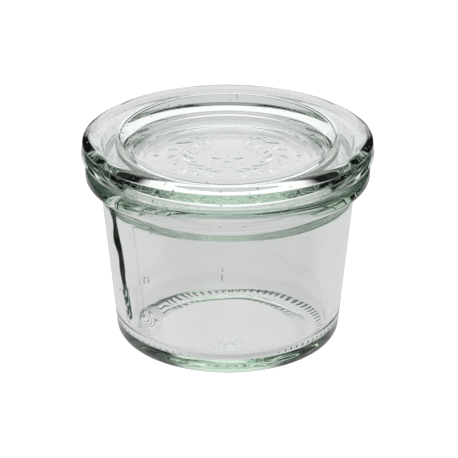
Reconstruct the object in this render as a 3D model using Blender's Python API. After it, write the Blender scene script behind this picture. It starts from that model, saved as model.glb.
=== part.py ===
# Small glass canning jar with a loose glass lid that rests on its rim.
# Both pieces are turned shapes around the Z axis. The origin is at the middle
# of the foot, +Z is up and all lengths are in metres.
import math

import bmesh
import bpy
from mathutils import Vector

MM = 0.001

# Turning
SEGMENTS = 60                  # facets around each piece
ARC_STEP = math.radians(24)    # largest turn between two points of a rounding
WELD = 1e-7                    # merges the points that meet on the axis
SHARP_ANGLE = math.radians(32)

# Heights
LID_TOP = 51.3 * MM            # top of the lid's raised ring, the total height
SEAM = 45.35 * MM              # where the lid rests on the rim
GAP = 0.3 * MM                 # clearance kept between lid and rim
RIM_UNDERSIDE = 40.15 * MM
NECK_FOOT = 37.3 * MM          # where the mouth runs into the inner wall
WALL_TOP = 35.8 * MM
INNER_FLOOR = 2.8 * MM         # where the floor meets the wall
FLOOR_RISE = 0.3 * MM          # the floor is a little higher in the middle
FOOT_HOLLOW = 0.4 * MM         # rise of the underside within the foot ring

# Radii of the jar
HOLLOW_EDGE = 15.7 * MM        # the underside slopes from here to the foot ring
FOOT_INSIDE = 19.3 * MM
BODY_AT_FLOOR = 26.74 * MM     # sharp corner that the wall's taper starts from
BODY_AT_RIM = 30.71 * MM
RIM = 34.11 * MM
MOUTH = 29.65 * MM
NECK = 27.5 * MM
WALL_INSIDE_TOP = 25.7 * MM
WALL_INSIDE_FOOT = 23.65 * MM

# Roundings of the jar
HOLLOW_ROUND = 2.7 * MM
FOOT_ROUND = 0.6 * MM
HEEL_ROUND = 3.35 * MM
SHOULDER_ROUND = 1.1 * MM
RIM_LOW_ROUND = 2.14 * MM
RIM_TOP_ROUND = 2.2 * MM
MOUTH_ROUND = 1.55 * MM
NECK_ROUND = 3.3 * MM
WALL_ROUND = 3.0 * MM
FLOOR_ROUND = 3.9 * MM

# The lid's recess and raised ring
RECESS_FLOOR = 45.75 * MM
RECESS_FOOT = 22.3 * MM
RECESS_TOP = 22.65 * MM
RECESS_WALL_TOP = 47.3 * MM
RING_SLOPE = 24.2 * MM         # foot of the ring's steep inner side
RING_SLOPE_HEIGHT = 48.1 * MM
RING_INSIDE = 25.9 * MM

# The lid's outer side, seat and plug
LID_SHOULDER = 32.6 * MM
LID_SIDE = 34.63 * MM
LID_SIDE_HEIGHT = 50.15 * MM
LID_WIDEST = 35.02 * MM        # sharp corner, rounded back to 35 mm
LID_WIDEST_HEIGHT = 46.9 * MM
LID_SEAT = 34.24 * MM
PLUG = 26.6 * MM               # ring-shaped boss under the lid, loose in the mouth
PLUG_FOOT = 26.3 * MM
PLUG_DEPTH = 41.4 * MM
PLUG_HOLLOW = 24.5 * MM        # the boss is hollow within this radius
PLUG_HOLLOW_SLOPE = 0.2 * MM
PLUG_CEILING = 43.6 * MM

# Roundings of the lid
RECESS_ROUND = 0.2 * MM
RECESS_TOP_ROUND = 0.3 * MM
SLOPE_ROUND = 0.3 * MM
RING_ROUND = 1.2 * MM
LID_SHOULDER_ROUND = 3.1 * MM
SIDE_ROUND = 0.5 * MM
SEAT_ROUND = 0.7 * MM
PLUG_TOP_ROUND = 0.3 * MM
PLUG_FOOT_ROUND = 0.6 * MM
PLUG_HOLLOW_ROUND = 0.4 * MM
CEILING_ROUND = 0.4 * MM


def outline(corners):
    """Points (r, z) of a line whose corners (r, z, rounding) are tangent arcs."""
    points = []
    for i, (r, z, rounding) in enumerate(corners):
        corner = Vector((r, z))
        if rounding <= 0:
            points.append(corner)
            continue
        back = Vector(corners[i - 1][:2]) - corner
        ahead = Vector(corners[i + 1][:2]) - corner
        opening = back.angle(ahead)
        cut = min(rounding / math.tan(opening / 2), back.length / 2, ahead.length / 2)
        radius = cut * math.tan(opening / 2)
        back.normalize()
        ahead.normalize()
        centre = corner + (back + ahead).normalized() * (radius / math.sin(opening / 2))
        start = corner + back * cut - centre
        end = corner + ahead * cut - centre
        turn = math.atan2(start.x * end.y - start.y * end.x, start.dot(end))
        steps = max(1, math.ceil(abs(turn) / ARC_STEP))
        first = math.atan2(start.y, start.x)
        for j in range(steps + 1):
            angle = first + turn * j / steps
            points.append(centre + radius * Vector((math.cos(angle), math.sin(angle))))
    return points


def turned(name, corners, material):
    """A closed solid spun around Z from an outline that starts and ends on Z."""
    bm = bmesh.new()
    verts = [bm.verts.new((p.x, 0.0, p.y)) for p in outline(corners)]
    edges = [bm.edges.new(pair) for pair in zip(verts[:-1], verts[1:])]
    bmesh.ops.spin(bm, geom=verts + edges, cent=(0, 0, 0), axis=(0, 0, 1),
                   angle=2 * math.pi, steps=SEGMENTS, use_merge=True)
    bmesh.ops.remove_doubles(bm, verts=bm.verts, dist=WELD)
    bmesh.ops.recalc_face_normals(bm, faces=bm.faces)
    mesh = bpy.data.meshes.new(name)
    bm.to_mesh(mesh)
    bm.free()
    mesh.shade_smooth()
    mesh.set_sharp_from_angle(angle=SHARP_ANGLE)
    mesh.materials.append(material)
    piece = bpy.data.objects.new(name, mesh)
    bpy.context.collection.objects.link(piece)
    return piece


def glass(name, color, roughness):
    material = bpy.data.materials.new(name)
    material.use_nodes = True
    shader = material.node_tree.nodes["Principled BSDF"]
    shader.inputs["Base Color"].default_value = (*color, 1.0)
    shader.inputs["Roughness"].default_value = roughness
    shader.inputs["Metallic"].default_value = 0.0
    shader.inputs["Transmission Weight"].default_value = 1.0
    shader.inputs["IOR"].default_value = 1.5
    return material


def jar_corners():
    """Underside, outer wall, rim, mouth, inner wall and floor."""
    rim_top = SEAM - GAP / 2
    return [
        (0.0, FOOT_HOLLOW, 0),
        (HOLLOW_EDGE, FOOT_HOLLOW, HOLLOW_ROUND),
        (FOOT_INSIDE, 0.0, FOOT_ROUND),
        (BODY_AT_FLOOR, 0.0, HEEL_ROUND),
        (BODY_AT_RIM, RIM_UNDERSIDE, SHOULDER_ROUND),
        (RIM, RIM_UNDERSIDE, RIM_LOW_ROUND),
        (RIM, rim_top, RIM_TOP_ROUND),
        (MOUTH, rim_top, MOUTH_ROUND),
        (NECK, NECK_FOOT, NECK_ROUND),
        (WALL_INSIDE_TOP, WALL_TOP, WALL_ROUND),
        (WALL_INSIDE_FOOT, INNER_FLOOR, FLOOR_ROUND),
        (0.0, INNER_FLOOR + FLOOR_RISE, 0),
    ]


def lid_corners():
    """Recess floor, raised ring, outer side, seat, plug and its underside."""
    seat = SEAM + GAP / 2
    return [
        (0.0, RECESS_FLOOR, 0),
        (RECESS_FOOT, RECESS_FLOOR, RECESS_ROUND),
        (RECESS_TOP, RECESS_WALL_TOP, RECESS_TOP_ROUND),
        (RING_SLOPE, RING_SLOPE_HEIGHT, SLOPE_ROUND),
        (RING_INSIDE, LID_TOP, RING_ROUND),
        (LID_SHOULDER, LID_TOP, LID_SHOULDER_ROUND),
        (LID_SIDE, LID_SIDE_HEIGHT, SIDE_ROUND),
        (LID_WIDEST, LID_WIDEST_HEIGHT, SIDE_ROUND),
        (LID_SEAT, seat, SEAT_ROUND),
        (PLUG, seat, PLUG_TOP_ROUND),
        (PLUG_FOOT, PLUG_DEPTH, PLUG_FOOT_ROUND),
        (PLUG_HOLLOW, PLUG_DEPTH, PLUG_HOLLOW_ROUND),
        (PLUG_HOLLOW - PLUG_HOLLOW_SLOPE, PLUG_CEILING, CEILING_ROUND),
        (0.0, PLUG_CEILING, 0),
    ]


def main():
    for item in list(bpy.data.objects):
        bpy.data.objects.remove(item, do_unlink=True)
    jar_glass = glass("jar_glass", (0.80, 0.86, 0.81), 0.02)
    lid_glass = glass("lid_glass", (0.76, 0.85, 0.79), 0.02)
    turned("jar", jar_corners(), jar_glass)
    turned("lid", lid_corners(), lid_glass)


main()
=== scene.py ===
import math
import random

import bmesh
import bpy
import numpy as np
from mathutils import Euler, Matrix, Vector


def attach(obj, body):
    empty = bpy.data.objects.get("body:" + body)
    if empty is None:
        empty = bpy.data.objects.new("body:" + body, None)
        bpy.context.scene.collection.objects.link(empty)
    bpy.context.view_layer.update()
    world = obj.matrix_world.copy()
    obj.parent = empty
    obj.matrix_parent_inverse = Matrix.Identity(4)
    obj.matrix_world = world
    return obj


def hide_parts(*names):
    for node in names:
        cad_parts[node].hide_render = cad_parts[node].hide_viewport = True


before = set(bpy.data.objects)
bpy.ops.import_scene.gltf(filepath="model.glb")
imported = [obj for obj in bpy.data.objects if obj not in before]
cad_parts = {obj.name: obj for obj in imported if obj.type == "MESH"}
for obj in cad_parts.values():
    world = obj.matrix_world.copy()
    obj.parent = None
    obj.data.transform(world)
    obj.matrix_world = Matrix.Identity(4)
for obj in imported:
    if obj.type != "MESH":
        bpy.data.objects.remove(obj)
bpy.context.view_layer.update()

MM = 0.001

# Heights
LID_TOP = 51.3 * MM            # top of the lid's raised ring, the total height
SEAM = 45.35 * MM              # where the lid rests on the rim
GAP = 0.3 * MM                 # clearance kept between lid and rim
RIM_UNDERSIDE = 40.15 * MM
NECK_FOOT = 37.3 * MM          # where the mouth runs into the inner wall
WALL_TOP = 35.8 * MM
INNER_FLOOR = 2.8 * MM         # where the floor meets the wall
FLOOR_RISE = 0.3 * MM          # the floor is a little higher in the middle
FOOT_HOLLOW = 0.4 * MM         # rise of the underside within the foot ring

# Radii of the jar
HOLLOW_EDGE = 15.7 * MM        # the underside slopes from here to the foot ring
FOOT_INSIDE = 19.3 * MM
BODY_AT_FLOOR = 26.74 * MM     # sharp corner that the wall's taper starts from
BODY_AT_RIM = 30.71 * MM
RIM = 34.11 * MM
MOUTH = 29.65 * MM
NECK = 27.5 * MM
WALL_INSIDE_TOP = 25.7 * MM
WALL_INSIDE_FOOT = 23.65 * MM

# Roundings of the jar
HOLLOW_ROUND = 2.7 * MM
FOOT_ROUND = 0.6 * MM
HEEL_ROUND = 3.35 * MM
SHOULDER_ROUND = 1.1 * MM
RIM_LOW_ROUND = 2.14 * MM
RIM_TOP_ROUND = 2.2 * MM
MOUTH_ROUND = 1.55 * MM
NECK_ROUND = 3.3 * MM
WALL_ROUND = 3.0 * MM
FLOOR_ROUND = 3.9 * MM

# The lid's recess and raised ring
RECESS_FLOOR = 45.75 * MM
RECESS_FOOT = 22.3 * MM
RECESS_TOP = 22.65 * MM
RECESS_WALL_TOP = 47.3 * MM
RING_SLOPE = 24.2 * MM         # foot of the ring's steep inner side
RING_SLOPE_HEIGHT = 48.1 * MM
RING_INSIDE = 25.9 * MM

# The lid's outer side, seat and plug
LID_SHOULDER = 32.6 * MM
LID_SIDE = 34.63 * MM
LID_SIDE_HEIGHT = 50.15 * MM
LID_WIDEST = 35.02 * MM        # sharp corner, rounded back to 35 mm
LID_WIDEST_HEIGHT = 46.9 * MM
LID_SEAT = 34.24 * MM
PLUG = 26.6 * MM               # ring-shaped boss under the lid, loose in the mouth
PLUG_FOOT = 26.3 * MM
PLUG_DEPTH = 41.4 * MM
PLUG_HOLLOW = 24.5 * MM        # the boss is hollow within this radius
PLUG_HOLLOW_SLOPE = 0.2 * MM
PLUG_CEILING = 43.6 * MM

# Roundings of the lid
RECESS_ROUND = 0.2 * MM
RECESS_TOP_ROUND = 0.3 * MM
SLOPE_ROUND = 0.3 * MM
RING_ROUND = 1.2 * MM
LID_SHOULDER_ROUND = 3.1 * MM
SIDE_ROUND = 0.5 * MM
SEAT_ROUND = 0.7 * MM
PLUG_TOP_ROUND = 0.3 * MM
PLUG_FOOT_ROUND = 0.6 * MM
PLUG_HOLLOW_ROUND = 0.4 * MM
CEILING_ROUND = 0.4 * MM

# Turning
ARC_STEP = math.radians(9)
LINE_STEP = 0.8 * MM           # spacing of rings along plain stretches
RIB_STEP = 0.30 * MM           # and where the ribs, the floor's ripple and the wreath are
FLOOR_STEP = 0.5 * MM
WREATH_STEP = 0.28 * MM
RIB_ZONE_TOP = 1.0 * MM
FLOOR_ZONE_EDGE, FLOOR_ZONE_FOOT = 21 * MM, 1.5 * MM
JAR_SEGMENTS = 380
LID_SEGMENTS = 400
BUBBLE_DETAIL = 2

# Ribs on the ring of the underside, and the unevenness within it
RIB_COUNT = 76
RIB_DEPTH = 0.42 * MM
RIB_RADII = (20.2 * MM, 20.9 * MM, 23.4 * MM, 24.0 * MM)  # start, full, full, end
RIB_OFFSET = 1.5 * MM          # the ring of ribs sits a little to the right
RIB_WANDER = 0.6               # radians that a rib strays
RIB_WANDER_SIZE = 4 * MM
RIB_MEAN, RIB_SPREAD = 0.85, 0.25
RIB_SPREAD_SIZE = 6 * MM
HOLLOW_UNEVEN = 0.05 * MM
HOLLOW_UNEVEN_SIZE = 9 * MM
HOLLOW_FADE = 2 * MM
UNDERSIDE_TOP = 1.2 * MM
UNDERSIDE_MIDDLE = 1 * MM      # nothing is uneven within this radius

# Unevenness of the inner wall, over all of it and low at the left
INNER_WALL_FOOT = INNER_FLOOR + 1.0 * MM
INNER_FADE = (5 * MM, 12 * MM, 33 * MM, 38 * MM)
SWELL, SWELL_SIZE, SWELL_STRETCH = 0.10 * MM, 18 * MM, 0.5
RIPPLE, RIPPLE_SIZE, RIPPLE_SQUEEZE = 0.05 * MM, 7 * MM, 1.5
LEFT_UNEVEN, LEFT_UNEVEN_SIZE = 0.16 * MM, 5 * MM
LEFT_TURN, LEFT_SPREAD = -42, 26     # degrees from the front
LEFT_HEIGHT, LEFT_REACH = 13 * MM, 8 * MM
LOW_UNEVEN, LOW_UNEVEN_SIZE = 0.13 * MM, 5 * MM   # soft waves above the far ribs
LOW_FADE = (3.6 * MM, 5 * MM, 7 * MM, 9 * MM)
LOW_TURN = (60, 100)

# Long fold down the left of the outer wall, and the fine line of the mould on the far side
OUTER_WALL = (3.5 * MM, 39.5 * MM)
FOLD_HEIGHT = 0.80 * MM
FOLD_WIDTH = 1.6 * MM
FOLD_LEAN = (-57.2, -62.4)     # degrees from the front, low and high on the wall
FOLD_FOOT, FOLD_LENGTH = 9.5 * MM, 28.3 * MM
FOLD_FADE = (8 * MM, 11.5 * MM, 38.5 * MM, 39.8 * MM)
FOLD_WANDER, FOLD_WANDER_SIZE = 0.7, 4 * MM
FOLD_UNEVEN, FOLD_UNEVEN_SIZE = 0.35, 3 * MM
MOULD_HEIGHT = 0.10 * MM
MOULD_WIDTH = 0.6 * MM
MOULD_ANGLE = 118.0

# Rippled mark on the jar's floor
FLOOR_EDGE = 20 * MM
FLOOR_MARGIN = 0.1 * MM
MARK_PLACE = (0.6 * MM, -13.6 * MM)
MARK_RADIUS = 5.6 * MM
MARK_FULL = 0.7                # share of the radius at full height
MARK_PITCH = 1.7 * MM
MARK_HEIGHT = 0.075 * MM
MARK_WANDER_SIZE = 4 * MM
FLOOR_UNEVEN, FLOOR_UNEVEN_SIZE = 0.06 * MM, 9 * MM

# Uneven fields: sine waves summed, their lengths in sizes, what their sum is divided by, and the seeds
FIELD_WAVES = 7
FIELD_LENGTHS = (1.2, 2.6)
FIELD_SHARE = 3.2
SEED_RIB_TURN, SEED_RIB_DEPTH, SEED_HOLLOW = 1, 2, 3
SEED_SWELL, SEED_RIPPLE, SEED_LEFT, SEED_LOW = 4, 5, 6, 13
SEED_FOLD_PATH, SEED_FOLD_HEIGHT = 7, 8
SEED_MARK, SEED_FLOOR = 9, 10

# Flaws inside the jar's wall: degrees from the front, height, half-sizes across, through and up
WALL_FLAWS = [
    (-43.6, 22.3 * MM, 0.20 * MM, 0.20 * MM, 0.75 * MM),
    (-40.8, 22.7 * MM, 0.20 * MM, 0.20 * MM, 0.55 * MM),
    (-42.2, 23.4 * MM, 0.70 * MM, 0.20 * MM, 0.22 * MM),
    (-66.5, 15.6 * MM, 0.34 * MM, 0.34 * MM, 0.50 * MM),
    (-61.2, 16.0 * MM, 0.42 * MM, 0.34 * MM, 0.90 * MM),
    (-60.2, 13.3 * MM, 0.30 * MM, 0.30 * MM, 0.60 * MM),
    (-59.3, 10.9 * MM, 0.36 * MM, 0.34 * MM, 0.80 * MM),
    (-2.4, 29.0 * MM, 0.14 * MM, 0.14 * MM, 0.55 * MM),
    (-2.7, 26.9 * MM, 0.20 * MM, 0.16 * MM, 0.90 * MM),
    (-37.0, 36.0 * MM, 0.26 * MM, 0.26 * MM, 0.26 * MM),
]
FLAW_DEPTH = 0.9 * MM          # below the outer surface

# Tiny bubbles: how many, radii, heights and sizes that they lie between, and their seed
RIM_BUBBLES = (24, (30.8 * MM, 32.6 * MM), (41.3 * MM, 44.0 * MM), (0.08 * MM, 0.20 * MM), 3)
LID_BUBBLES = (70, (27.8 * MM, 33.2 * MM), (46.2 * MM, 49.0 * MM), (0.09 * MM, 0.24 * MM), 5)
BUBBLE_DEPTH_RANGE = (0.8, 1.3)
BUBBLE_HEIGHT_RANGE = (0.7, 1.1)

# The wreath on the lid's recess floor: two leafy sprigs round a rosette
RELIEF = 0.13 * MM
WREATH = 11.4 * MM
STEM_WIDTH, STEM_HEIGHT = 0.45 * MM, 0.6
STEM_START, STEM_END = (3, 8), (158, 168)        # degrees from the front
LEAVES = 8                     # pairs of leaves on each sprig
LEAF_START = 15
LEAF_TURN = 19.0               # degrees from one pair to the next
LEAF_SPLAY = 32
LEAF = (2.5 * MM, 1.0 * MM)    # half-length and half-width
LEAF_OFFSET = 1.7 * MM
LEAF_EDGE = (1.05, 0.35)
LEAF_TIP = 0.05                # keeps the leaf's width from nothing at its tips
ROSETTE = 4.6 * MM
PETAL_MEAN, PETAL_SPREAD, PETAL_TURN = 0.66, 0.34, 2.5
PETAL_HEIGHT, PETAL_EDGE = 0.8, 0.8 * MM
PETAL_INSIDE = (0.9 * MM, 1.5 * MM)
BUD = (1.1 * MM, 0.6 * MM)
SIDE_DOT = 17.2 * MM           # a plain dot on each side of the wreath
DOT_EDGE, DOT_HEIGHT = (0.9 * MM, 0.4 * MM), 0.8
WREATH_REACH = 18.5 * MM

# Faint rings in the recess floor, which drops back at its edge
FLOOR_RINGS = ((20.2 * MM, 0.05 * MM), (17.6 * MM, 0.05 * MM))
RING_EDGE = 0.4 * MM
RING_DROP = (20.8 * MM, 21.7 * MM)
SAME_HEIGHT = 1e-6

# Glass
TINT = (0.60, 0.79, 0.64)
TINT_DENSITY = 20.0
GLASS_IOR = 1.51
CLOUD_SCALE, CLOUD_DETAIL = 90.0, 3.0
CLOUDY = (0.975, 0.99, 0.98, 1)
CLEAR = (1, 1, 1, 1)
CLOUDY_AT, CLEAR_AT = 0.30, 0.60
DULL_FROM, DULL_TO, DULLEST = 0.55, 0.80, 0.03
WAVE_SCALE, WAVE_DETAIL = 140.0, 1.0
WAVINESS = 0.5
WAVE_HEIGHT = 0.04 * MM

# Light of the studio: a lit table that runs up into a bright backdrop, as a strip between dark sides
LIGHT = (1.0, 0.975, 1.0, 1)
STRIP_SKY = 1.15
FRONT_SKY = 0.40
SIDE = 0.006
STRIP_EDGE = (0.25, 0.38)
FRONT_EDGE = (-0.324, -0.25)
TABLE = 0.71
FRONT_TABLE = 0.16
TABLE_SIDE_EDGE = (0.09, 0.12)
TABLE_FRONT_EDGE = (-0.044, -0.014)
TABLE_SLANT = 0.20             # the table's lit part starts nearer to the jar on its right

# The pale table and backdrop as they are seen directly
SEEN_GLOW = 1.05
SEEN_COLOR = (0.60, 0.60, 0.60, 1)
UNSEEN_COLOR = (0.05, 0.05, 0.05, 1)
FLOOR_RADIUS = 2.5
FLOOR_SEGMENTS = 96
FLOOR_DROP = 0.1 * MM          # just under the jar's foot
FLOOR_ROUGHNESS = 0.9

# Camera, from the outline of the object in the photo
IMAGE_SIZE = 458
SENSOR = 36.0
DISTANCE = 0.700
ELEVATION = math.radians(24.08)
FOCAL_PIXELS = 2899.4
AIM_HEIGHT = 26.44 * MM
AXIS_OFFSET_PIXELS = 1.25
NEAREST = 0.01


def jar_corners():
    """Underside, outer wall, rim, mouth, inner wall and floor, as (r, z, rounding)."""
    rim_top = SEAM - GAP / 2
    return [
        (0.0, FOOT_HOLLOW, 0),
        (HOLLOW_EDGE, FOOT_HOLLOW, HOLLOW_ROUND),
        (FOOT_INSIDE, 0.0, FOOT_ROUND),
        (BODY_AT_FLOOR, 0.0, HEEL_ROUND),
        (BODY_AT_RIM, RIM_UNDERSIDE, SHOULDER_ROUND),
        (RIM, RIM_UNDERSIDE, RIM_LOW_ROUND),
        (RIM, rim_top, RIM_TOP_ROUND),
        (MOUTH, rim_top, MOUTH_ROUND),
        (NECK, NECK_FOOT, NECK_ROUND),
        (WALL_INSIDE_TOP, WALL_TOP, WALL_ROUND),
        (WALL_INSIDE_FOOT, INNER_FLOOR, FLOOR_ROUND),
        (0.0, INNER_FLOOR + FLOOR_RISE, 0),
    ]


def lid_corners():
    """Recess floor, raised ring, outer side, seat, plug and its underside."""
    seat = SEAM + GAP / 2
    return [
        (0.0, RECESS_FLOOR, 0),
        (RECESS_FOOT, RECESS_FLOOR, RECESS_ROUND),
        (RECESS_TOP, RECESS_WALL_TOP, RECESS_TOP_ROUND),
        (RING_SLOPE, RING_SLOPE_HEIGHT, SLOPE_ROUND),
        (RING_INSIDE, LID_TOP, RING_ROUND),
        (LID_SHOULDER, LID_TOP, LID_SHOULDER_ROUND),
        (LID_SIDE, LID_SIDE_HEIGHT, SIDE_ROUND),
        (LID_WIDEST, LID_WIDEST_HEIGHT, SIDE_ROUND),
        (LID_SEAT, seat, SEAT_ROUND),
        (PLUG, seat, PLUG_TOP_ROUND),
        (PLUG_FOOT, PLUG_DEPTH, PLUG_FOOT_ROUND),
        (PLUG_HOLLOW, PLUG_DEPTH, PLUG_HOLLOW_ROUND),
        (PLUG_HOLLOW - PLUG_HOLLOW_SLOPE, PLUG_CEILING, CEILING_ROUND),
        (0.0, PLUG_CEILING, 0),
    ]


def outline(corners, spacing):
    """Points (r, z) along corners with tangent arcs, close enough for smooth glass."""
    points = []
    for i, (r, z, rounding) in enumerate(corners):
        corner = Vector((r, z))
        if rounding <= 0:
            points.append(corner)
            continue
        back = Vector(corners[i - 1][:2]) - corner
        ahead = Vector(corners[i + 1][:2]) - corner
        opening = back.angle(ahead)
        cut = min(rounding / math.tan(opening / 2), back.length * 0.5, ahead.length * 0.5)
        radius = cut * math.tan(opening / 2)
        back.normalize()
        ahead.normalize()
        centre = corner + (back + ahead).normalized() * (radius / math.sin(opening / 2))
        start = corner + back * cut - centre
        end = corner + ahead * cut - centre
        turn = math.atan2(start.x * end.y - start.y * end.x, start.dot(end))
        steps = max(2, math.ceil(abs(turn) / ARC_STEP))
        first = math.atan2(start.y, start.x)
        for j in range(steps + 1):
            angle = first + turn * j / steps
            points.append(centre + radius * Vector((math.cos(angle), math.sin(angle))))
    fine = [points[0]]
    for a, b in zip(points[:-1], points[1:]):
        middle = (a + b) / 2
        steps = max(1, math.ceil((b - a).length / spacing(middle.x, middle.y)))
        fine += [a.lerp(b, (j + 1) / steps) for j in range(steps)]
    return fine


def ball():
    """Points and inward-facing triangles of a unit ball, for a hollow in the glass."""
    bm = bmesh.new()
    bmesh.ops.create_icosphere(bm, subdivisions=BUBBLE_DETAIL, radius=1.0)
    verts = np.array([v.co[:] for v in bm.verts])
    tris = np.array([[v.index for v in f.verts] for f in bm.faces])[:, ::-1]
    bm.free()
    return verts, tris


def mesh_piece(name, verts, quads, tris):
    """Smooth object from arrays of points, quads and triangles."""
    mesh = bpy.data.meshes.new(name)
    mesh.vertices.add(len(verts))
    mesh.vertices.foreach_set("co", verts.ravel().astype(np.float32))
    mesh.loops.add(quads.size + tris.size)
    corners = np.concatenate([quads.ravel(), tris.ravel()])
    mesh.loops.foreach_set("vertex_index", corners.astype(np.int32))
    mesh.polygons.add(len(quads) + len(tris))
    starts = np.concatenate([np.arange(len(quads)) * 4, quads.size + np.arange(len(tris)) * 3])
    mesh.polygons.foreach_set("loop_start", starts.astype(np.int32))
    mesh.update(calc_edges=True)
    mesh.validate()
    mesh.shade_smooth()
    piece = bpy.data.objects.new(name, mesh)
    bpy.context.collection.objects.link(piece)
    return piece


def turned(name, corners, spacing, segments, relief, bubbles):
    """Closed smooth solid around Z; relief(r, z, angle) gives small shifts (dr, dz)."""
    line = outline(corners, spacing)
    angle = 2 * np.pi * np.arange(segments) / segments
    rings = []
    for p in line[1:-1]:
        dr, dz = relief(p.x, p.y, angle)
        rings.append(np.stack([(p.x + dr) * np.cos(angle), (p.x + dr) * np.sin(angle), p.y + dz], 1))
    poles = [(0.0, 0.0, p.y + float(relief(0.0, p.y, np.zeros(1))[1][0])) for p in (line[0], line[-1])]
    verts = np.concatenate(rings + [np.array(poles)])
    k = np.arange(segments)
    k2 = (k + 1) % segments
    first, last = np.full(segments, len(verts) - 2), np.full(segments, len(verts) - 1)
    end = (len(rings) - 1) * segments
    quads = [np.stack([a + k2, b + k2, b + k, a + k], 1)
             for a, b in zip(range(0, end, segments), range(segments, end + 1, segments))]
    tris = [np.stack([first, k2, k], 1), np.stack([last, end + k, end + k2], 1)]
    runs_down = line[1].y + line[0].y > line[-1].y + line[-2].y
    if runs_down:
        quads = [q[:, ::-1] for q in quads]
        tris = [t[:, ::-1] for t in tris]
    quads, tris = np.concatenate(quads), np.concatenate(tris)
    ball_verts, ball_tris = ball()
    for centre, size in bubbles:
        tris = np.concatenate([tris, ball_tris + len(verts)])
        verts = np.concatenate([verts, ball_verts * np.array(size) + np.array(centre)])
    return mesh_piece(name, verts, quads, tris)


def smooth(lo, hi, x):
    """Smooth step from 0 at lo to 1 at hi."""
    t = np.clip((x - lo) / (hi - lo), 0.0, 1.0)
    return t * t * (3 - 2 * t)


def between(start, full, full_end, end, x):
    """Smooth step up, level stretch and step down again."""
    return smooth(start, full, x) * smooth(end, full_end, x)


def bump(x, width):
    """Smooth hump of height 1 and half-width 'width'."""
    return smooth(width, 0.0, np.abs(x))


def ripple(x, y, z, size, seed):
    """Smooth uneven field between about -1 and 1 with swellings about 'size' across."""
    rng = random.Random(seed)
    total = 0.0
    for _ in range(FIELD_WAVES):
        way = Vector((rng.gauss(0, 1), rng.gauss(0, 1), rng.gauss(0, 1))).normalized()
        pitch = 2 * math.pi / (size * rng.uniform(*FIELD_LENGTHS))
        phase = pitch * (way.x * x + way.y * y + way.z * z)
        total = total + np.sin(phase + rng.uniform(0, 2 * math.pi))
    return total / FIELD_SHARE


def from_front(angle):
    """Degrees from the front (-Y), positive to the right (+X), -180 to 180."""
    return (np.degrees(angle) + 270) % 360 - 180


def wall_radius(z, low, high):
    """Radius at height z of a wall that tapers from low at the foot to high at the rim."""
    return low + (high - low) * z / RIM_UNDERSIDE


def underside_relief(x, y, r):
    """Ribs on the foot ring and a slightly uneven hollow within it."""
    rib_r = np.hypot(x - RIB_OFFSET, y)
    turn = RIB_COUNT * np.arctan2(y, x - RIB_OFFSET)
    wave = 0.5 + 0.5 * np.cos(turn + RIB_WANDER * ripple(x, y, 0, RIB_WANDER_SIZE, SEED_RIB_TURN))
    uneven = RIB_MEAN + RIB_SPREAD * ripple(x, y, 0, RIB_SPREAD_SIZE, SEED_RIB_DEPTH)
    ribs = RIB_DEPTH * wave * uneven * between(*RIB_RADII, rib_r)
    hollow = HOLLOW_UNEVEN * (1 + ripple(x, y, 0, HOLLOW_UNEVEN_SIZE, SEED_HOLLOW))
    return ribs + hollow * smooth(RIB_RADII[0], RIB_RADII[0] - HOLLOW_FADE, r)


def inner_wall_relief(x, y, z, front):
    """Soft swellings all over, stronger low at the left and low at the back."""
    swell = SWELL * ripple(x, y, z * SWELL_STRETCH, SWELL_SIZE, SEED_SWELL)
    fine = RIPPLE * ripple(x, y, z * RIPPLE_SQUEEZE, RIPPLE_SIZE, SEED_RIPPLE)
    left = bump(front - LEFT_TURN, LEFT_SPREAD) * bump(z - LEFT_HEIGHT, LEFT_REACH)
    left = LEFT_UNEVEN * left * ripple(x, y, z, LEFT_UNEVEN_SIZE, SEED_LEFT)
    low = between(*LOW_FADE, z) * smooth(*LOW_TURN, np.abs(front))
    low = LOW_UNEVEN * low * ripple(x, y, z, LOW_UNEVEN_SIZE, SEED_LOW)
    return between(*INNER_FADE, z) * (swell + fine) + left + low


def outer_wall_relief(r, z, front):
    """The long fold, and the mould's line."""
    rise = (z - FOLD_FOOT) / FOLD_LENGTH
    lean = FOLD_LEAN[0] + (FOLD_LEAN[1] - FOLD_LEAN[0]) * rise
    lean = lean + FOLD_WANDER * ripple(0, 0, z, FOLD_WANDER_SIZE, SEED_FOLD_PATH)
    height = FOLD_HEIGHT * (1 + FOLD_UNEVEN * ripple(0, 0, z, FOLD_UNEVEN_SIZE, SEED_FOLD_HEIGHT))
    fold = height * bump(np.radians(front - lean) * r, FOLD_WIDTH)
    far = (front - MOULD_ANGLE + 180) % 360 - 180
    return between(*FOLD_FADE, z) * (fold + MOULD_HEIGHT * bump(np.radians(far) * r, MOULD_WIDTH))


def floor_relief(x, y):
    """Rings of the rippled mark, and a slightly uneven floor."""
    mark = np.hypot(x - MARK_PLACE[0], y - MARK_PLACE[1])
    rings = np.cos(2 * np.pi * mark / MARK_PITCH + ripple(x, y, 0, MARK_WANDER_SIZE, SEED_MARK))
    rings = MARK_HEIGHT * rings * smooth(MARK_RADIUS, MARK_RADIUS * MARK_FULL, mark)
    return rings + FLOOR_UNEVEN * ripple(x, y, 0, FLOOR_UNEVEN_SIZE, SEED_FLOOR)


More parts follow.
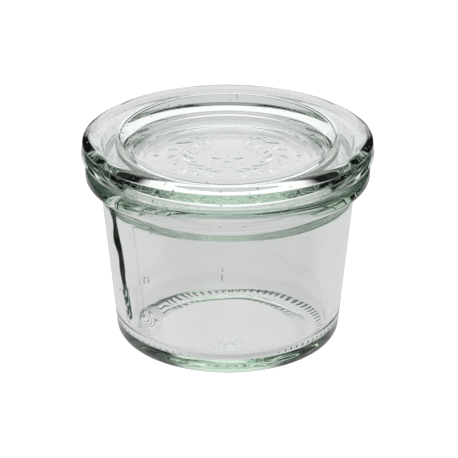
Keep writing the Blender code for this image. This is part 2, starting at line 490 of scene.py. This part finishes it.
def jar_relief(r, z, angle):
    """Foot ribs, uneven wall, the fold and the mould's line, and the ripple on the floor."""
    x, y = r * np.cos(angle), r * np.sin(angle)
    front = from_front(angle)
    dr = np.zeros_like(angle)
    dz = np.zeros_like(angle)
    middle = wall_radius(z, (BODY_AT_FLOOR + WALL_INSIDE_FOOT) / 2, (BODY_AT_RIM + WALL_INSIDE_TOP) / 2)
    if z < UNDERSIDE_TOP and UNDERSIDE_MIDDLE < r < BODY_AT_FLOOR:
        dz += underside_relief(x, y, r)
    if z > INNER_WALL_FOOT and r < middle:
        dr += inner_wall_relief(x, y, z, front)
    if OUTER_WALL[0] < z < OUTER_WALL[1] and r > middle:
        dr += outer_wall_relief(r, z, front)
    if r < FLOOR_EDGE and INNER_FLOOR - FLOOR_MARGIN < z < INNER_FLOOR + FLOOR_RISE + FLOOR_MARGIN:
        dz += floor_relief(x, y)
    return dr, dz


def leaf_height(x, y, where, splay, shift):
    """Height, 0 to 1, of one leaf and its mirror image in the other sprig."""
    along = where + splay
    dx = np.abs(x) - (WREATH + shift) * math.sin(where)
    dy = y + (WREATH + shift) * math.cos(where)
    u = (dx * math.cos(along) + dy * math.sin(along)) / LEAF[0]
    v = (dy * math.cos(along) - dx * math.sin(along)) / LEAF[1]
    edge = np.abs(v) / np.maximum(LEAF_TIP, 1 - u * u)
    return np.where(np.abs(u) < 1, smooth(*LEAF_EDGE, edge), 0)


def wreath_height(x, y):
    """Height, 0 to 1, of a generic wreath of two leafy sprigs round a small rosette."""
    r = np.hypot(x, y)
    half = np.abs(np.degrees(np.arctan2(x, -y)))
    height = STEM_HEIGHT * bump(r - WREATH, STEM_WIDTH) * between(*STEM_START, *STEM_END, half)
    for n in range(LEAVES):
        where = math.radians(LEAF_START + n * LEAF_TURN)
        for side in (1, -1):
            leaf = leaf_height(x, y, where, side * math.radians(LEAF_SPLAY), side * LEAF_OFFSET)
            height = np.maximum(height, leaf)
    petal = ROSETTE * (PETAL_MEAN + PETAL_SPREAD * np.abs(np.cos(PETAL_TURN * np.arctan2(x, -y))))
    flower = PETAL_HEIGHT * smooth(petal, petal - PETAL_EDGE, r) * smooth(*PETAL_INSIDE, r)
    height = np.maximum(height, flower + smooth(*BUD, r))
    dot = np.hypot(np.abs(x) - SIDE_DOT, y)
    return np.maximum(height, DOT_HEIGHT * smooth(*DOT_EDGE, dot))


def lid_relief(r, z, angle):
    """The wreath on the recess floor, and the floor's faint rings."""
    dz = np.zeros_like(angle)
    if abs(z - RECESS_FLOOR) < SAME_HEIGHT:
        dz += RELIEF * wreath_height(r * np.cos(angle), r * np.sin(angle))
        for radius, height in FLOOR_RINGS:
            dz += height * smooth(radius - RING_EDGE, radius + RING_EDGE, r)
        dz -= sum(height for _, height in FLOOR_RINGS) * smooth(*RING_DROP, r)
    return np.zeros_like(angle), dz


def jar_spacing(r, z):
    if z < RIB_ZONE_TOP and RIB_RADII[0] - RIB_OFFSET < r < RIB_RADII[3] + RIB_OFFSET:
        return RIB_STEP
    if r < FLOOR_ZONE_EDGE and z > FLOOR_ZONE_FOOT:
        return FLOOR_STEP
    return LINE_STEP


def lid_spacing(r, z):
    return WREATH_STEP if abs(z - RECESS_FLOOR) < SAME_HEIGHT and r < WREATH_REACH else LINE_STEP


def bubbles(count, radii, heights, sizes, seed):
    """Tiny air bubbles spread through a ring of glass, as (centre, half-sizes)."""
    rng = random.Random(seed)
    found = []
    for _ in range(count):
        r, angle = rng.uniform(*radii), rng.uniform(0, 2 * math.pi)
        size = rng.uniform(*sizes)
        centre = Vector((r * math.cos(angle), r * math.sin(angle), rng.uniform(*heights)))
        depth, height = rng.uniform(*BUBBLE_DEPTH_RANGE), rng.uniform(*BUBBLE_HEIGHT_RANGE)
        found.append((centre, Vector((size, size * depth, size * height))))
    return found


def wall_flaws():
    """The larger flaws of the jar's wall, as (centre, half-sizes)."""
    found = []
    for where, up, across, through, half_up in WALL_FLAWS:
        angle = math.radians(where - 90)
        r = wall_radius(up, BODY_AT_FLOOR, BODY_AT_RIM) - FLAW_DEPTH
        centre = Vector((r * math.cos(angle), r * math.sin(angle), up))
        found.append((centre, Vector((across, through, half_up))))
    return found


def noise(tree, scale, detail):
    """Noise over the object, as a value."""
    coord = tree.nodes.new("ShaderNodeTexCoord")
    node = tree.nodes.new("ShaderNodeTexNoise")
    node.inputs["Scale"].default_value = scale
    node.inputs["Detail"].default_value = detail
    tree.links.new(coord.outputs["Object"], node.inputs["Vector"])
    return node.outputs["Fac"]


def glass(name):
    """Pale green pressed glass: faint uneven gloss, clearness and surface, tinted through its depth."""
    material = bpy.data.materials.new(name)
    material.use_nodes = True
    tree = material.node_tree
    nodes, links = tree.nodes, tree.links
    shader = nodes["Principled BSDF"]
    shader.inputs["Transmission Weight"].default_value = 1.0
    shader.inputs["IOR"].default_value = GLASS_IOR
    cloud = noise(tree, CLOUD_SCALE, CLOUD_DETAIL)
    clear = nodes.new("ShaderNodeValToRGB")
    for stop, where, color in zip(clear.color_ramp.elements, (CLOUDY_AT, CLEAR_AT), (CLOUDY, CLEAR)):
        stop.position = where
        stop.color = color
    links.new(cloud, clear.inputs["Fac"])
    links.new(clear.outputs["Color"], shader.inputs["Base Color"])
    gloss = nodes.new("ShaderNodeMapRange")
    gloss.inputs["From Min"].default_value = DULL_FROM
    gloss.inputs["From Max"].default_value = DULL_TO
    gloss.inputs["To Min"].default_value = 0.0
    gloss.inputs["To Max"].default_value = DULLEST
    links.new(cloud, gloss.inputs["Value"])
    links.new(gloss.outputs["Result"], shader.inputs["Roughness"])
    surface = nodes.new("ShaderNodeBump")
    surface.inputs["Strength"].default_value = WAVINESS
    surface.inputs["Distance"].default_value = WAVE_HEIGHT
    links.new(noise(tree, WAVE_SCALE, WAVE_DETAIL), surface.inputs["Height"])
    links.new(surface.outputs["Normal"], shader.inputs["Normal"])
    absorb = nodes.new("ShaderNodeVolumeAbsorption")
    absorb.inputs["Color"].default_value = (*TINT, 1)
    absorb.inputs["Density"].default_value = TINT_DENSITY
    links.new(absorb.outputs["Volume"], nodes["Material Output"].inputs["Volume"])
    return material


def feed(tree, socket, item):
    """Set a socket to a number, or link another node's output to it."""
    if isinstance(item, (int, float)):
        socket.default_value = item
    else:
        tree.links.new(item, socket)


def maths(tree, operation, *values):
    node = tree.nodes.new("ShaderNodeMath")
    node.operation = operation
    for socket, value in zip(node.inputs, values):
        feed(tree, socket, value)
    return node.outputs[0]


def ramp(tree, value, lo, hi, out_lo, out_hi):
    """Smooth step of a value from out_lo at lo to out_hi at hi."""
    node = tree.nodes.new("ShaderNodeMapRange")
    node.interpolation_type = "SMOOTHSTEP"
    names = ("Value", "From Min", "From Max", "To Min", "To Max")
    for name, item in zip(names, (value, lo, hi, out_lo, out_hi)):
        feed(tree, node.inputs[name], item)
    return node.outputs["Result"]


def place(tree, output):
    """The x and y of a texture coordinate."""
    coord = tree.nodes.new("ShaderNodeTexCoord")
    split = tree.nodes.new("ShaderNodeSeparateXYZ")
    tree.links.new(coord.outputs[output], split.inputs[0])
    return split.outputs[0], split.outputs[1]


def seen(tree):
    """1 where the studio itself is seen, 0 where it lights the glass."""
    return tree.nodes.new("ShaderNodeLightPath").outputs["Is Camera Ray"]


def build_world():
    world = bpy.data.worlds.new("studio")
    bpy.context.scene.world = world
    world.use_nodes = True
    tree = world.node_tree
    tree.nodes.clear()
    out = tree.nodes.new("ShaderNodeOutputWorld")
    background = tree.nodes.new("ShaderNodeBackground")
    x, y = place(tree, "Generated")
    level = ramp(tree, y, *FRONT_EDGE, FRONT_SKY, STRIP_SKY)
    level = ramp(tree, maths(tree, "ABSOLUTE", x), *STRIP_EDGE, level, SIDE)
    level = ramp(tree, seen(tree), 0.0, 1.0, level, SEEN_GLOW)
    tree.links.new(level, background.inputs["Strength"])
    background.inputs["Color"].default_value = LIGHT
    tree.links.new(background.outputs[0], out.inputs["Surface"])


def floor_material():
    material = bpy.data.materials.new("floor")
    material.use_nodes = True
    tree = material.node_tree
    shader = tree.nodes["Principled BSDF"]
    shader.inputs["Roughness"].default_value = FLOOR_ROUGHNESS
    shader.inputs["Specular IOR Level"].default_value = 0.0
    x, y = place(tree, "Object")
    slanted = maths(tree, "SUBTRACT", y, maths(tree, "MULTIPLY", x, TABLE_SLANT))
    glow = ramp(tree, slanted, *TABLE_FRONT_EDGE, FRONT_TABLE, TABLE)
    glow = ramp(tree, maths(tree, "ABSOLUTE", x), *TABLE_SIDE_EDGE, glow, SIDE)
    camera_ray = seen(tree)
    glow = ramp(tree, camera_ray, 0.0, 1.0, glow, SEEN_GLOW)
    mix = tree.nodes.new("ShaderNodeMix")
    mix.data_type = "RGBA"
    tree.links.new(camera_ray, mix.inputs["Factor"])
    mix.inputs[6].default_value = UNSEEN_COLOR
    mix.inputs[7].default_value = SEEN_COLOR
    tree.links.new(mix.outputs[2], shader.inputs["Base Color"])
    shader.inputs["Emission Color"].default_value = LIGHT
    tree.links.new(glow, shader.inputs["Emission Strength"])
    return material


def build_floor():
    bm = bmesh.new()
    bmesh.ops.create_circle(bm, cap_ends=True, segments=FLOOR_SEGMENTS, radius=FLOOR_RADIUS)
    mesh = bpy.data.meshes.new("floor")
    bm.to_mesh(mesh)
    bm.free()
    mesh.materials.append(floor_material())
    floor = bpy.data.objects.new("floor", mesh)
    bpy.context.collection.objects.link(floor)
    floor.location.z = -FLOOR_DROP


def build_camera():
    data = bpy.data.cameras.new("camera")
    data.sensor_width = SENSOR
    data.sensor_fit = "HORIZONTAL"
    data.lens = FOCAL_PIXELS / IMAGE_SIZE * SENSOR
    data.shift_x = AXIS_OFFSET_PIXELS / IMAGE_SIZE
    data.clip_start = NEAREST
    camera = bpy.data.objects.new("camera", data)
    bpy.context.collection.objects.link(camera)
    back, up = DISTANCE * math.cos(ELEVATION), DISTANCE * math.sin(ELEVATION)
    camera.location = (0, -back, AIM_HEIGHT + up)
    camera.rotation_euler = Euler((math.pi / 2 - ELEVATION, 0, 0))
    bpy.context.scene.camera = camera


def settings():
    """Plain tones, and enough bounces for light to cross both pieces of glass."""
    scene = bpy.context.scene
    scene.view_settings.view_transform = "Standard"
    scene.cycles.max_bounces = 32
    scene.cycles.transmission_bounces = 32
    scene.cycles.glossy_bounces = 24
    scene.cycles.diffuse_bounces = 3
    scene.cycles.use_denoising = True


jar = turned("jar_glass", jar_corners(), jar_spacing, JAR_SEGMENTS, jar_relief,
             bubbles(*RIM_BUBBLES) + wall_flaws())
lid = turned("lid_glass", lid_corners(), lid_spacing, LID_SEGMENTS, lid_relief,
             bubbles(*LID_BUBBLES))
for piece, node in ((jar, "jar"), (lid, "lid")):
    piece.data.materials.append(glass(piece.name))
    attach(piece, "root")
    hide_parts(node)

build_floor()
build_world()
build_camera()
settings()
